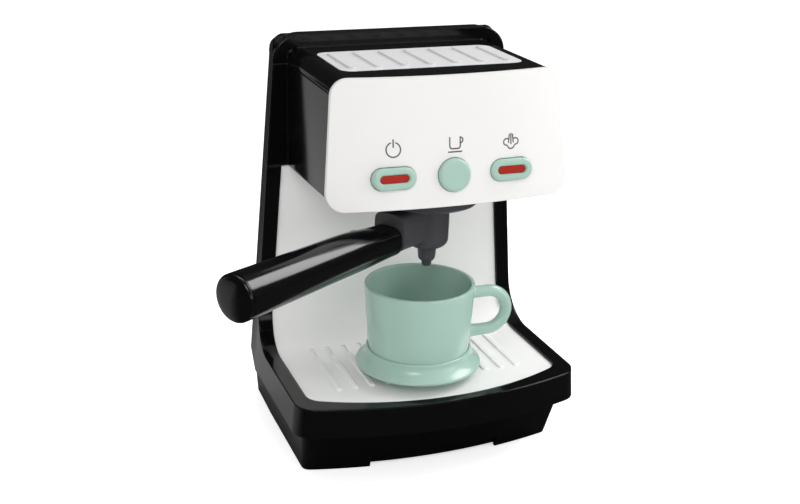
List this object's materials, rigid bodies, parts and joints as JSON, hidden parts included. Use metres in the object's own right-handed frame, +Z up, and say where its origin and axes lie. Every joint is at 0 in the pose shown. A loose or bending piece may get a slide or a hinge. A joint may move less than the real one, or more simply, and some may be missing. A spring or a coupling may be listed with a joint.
{
  "type": "toy coffee maker",
  "caption": "Toy coffee maker with an arched tower, tilted control head with push buttons, swinging filter holder, drip tray, lift-out cup and saucer.",
  "frame": {"origin": "middle of the footprint on the surface that it stands on", "axes": "+X to the right seen from the front, +Y to the back, +Z up"},
  "size_m": [0.2536, 0.2214, 0.27],
  "materials": {
    "black_gloss": "glossy moulded plastic",
    "black_matt": "fine spark finish",
    "white_gloss": "glossy moulded plastic",
    "mint_satin": "satin moulded plastic",
    "grey_satin": "satin moulded plastic",
    "red_lens": "clear tinted plastic",
    "rubber": "matt",
    "board": "solder mask",
    "switch_black": "plain",
    "lamp_clear": "clear resin",
    "steel": "zinc plated",
    "cell_jacket": "printed sleeve, plain"
  },
  "bodies": {
    "housing": {"body_shell": "black_gloss", "base_plate": "black_matt", "drip_panel": "white_gloss", "upper_shell": "black_gloss", "top_cover": "black_gloss", "top_grille": "white_gloss", "rear_cover": "black_gloss", "front_panel": "white_gloss", "circuit_board": "board", "button_switches": "switch_black", "signal_lamps": "lamp_clear", "board_screws": "steel", "group_collar": "grey_satin", "battery_box": "black_matt", "battery_cells": "cell_jacket", "battery_contacts": "steel", "speaker": "switch_black", "rear_cover_screws": "steel", "base_screws": "steel", "cover_screws": "steel", "power_button_dome": "rubber", "brew_button_dome": "rubber", "steam_button_dome": "rubber"},
    "power_button": {"power_button": "mint_satin", "power_lens": "red_lens"},
    "brew_button": {"brew_button": "mint_satin"},
    "steam_button": {"steam_button": "mint_satin", "steam_lens": "red_lens"},
    "filter_holder": {"filter_holder": "grey_satin", "spout_nozzle": "grey_satin", "handle_grip": "black_gloss", "handle_end_cap": "black_gloss", "handle_screw": "steel"},
    "saucer": {"saucer": "mint_satin"},
    "cup": {"cup": "mint_satin"},
    "battery_door": {"battery_door": "black_gloss", "battery_door_screw": "steel"}
  },
  "joints": [
    {"name": "power_button_press", "type": "slide", "parent": "housing", "child": "power_button", "axis": [0, 0.9926, -0.1214], "range_m": [0, 0.0015], "stiffness_N_per_m": 200, "springref_m": -0.002, "deforming": ["power_button_dome"]},
    {"name": "brew_button_press", "type": "slide", "parent": "housing", "child": "brew_button", "axis": [0, 0.9926, -0.1214], "range_m": [0, 0.0015], "stiffness_N_per_m": 200, "springref_m": -0.002, "deforming": ["brew_button_dome"]},
    {"name": "steam_button_press", "type": "slide", "parent": "housing", "child": "steam_button", "axis": [0, 0.9926, -0.1214], "range_m": [0, 0.0015], "stiffness_N_per_m": 200, "springref_m": -0.002, "deforming": ["steam_button_dome"]},
    {"name": "filter_holder_turn", "type": "hinge", "parent": "housing", "child": "filter_holder", "pos_m": [0, -0.0327, 0.16], "axis": [0, 0, 1], "range_deg": [0, 60]},
    {"name": "saucer_slide", "type": "slide", "parent": "housing", "child": "saucer", "axis": [0, -0.9925, 0.1219], "range_m": [0, 0.14]},
    {"name": "cup_lift", "type": "slide", "parent": "saucer", "child": "cup", "axis": [0, 0, 1], "range_m": [0, 0.008]},
    {"name": "battery_door_pull", "type": "slide", "parent": "housing", "child": "battery_door", "axis": [0, 1, 0], "range_m": [0, 0.03]}
  ]
}
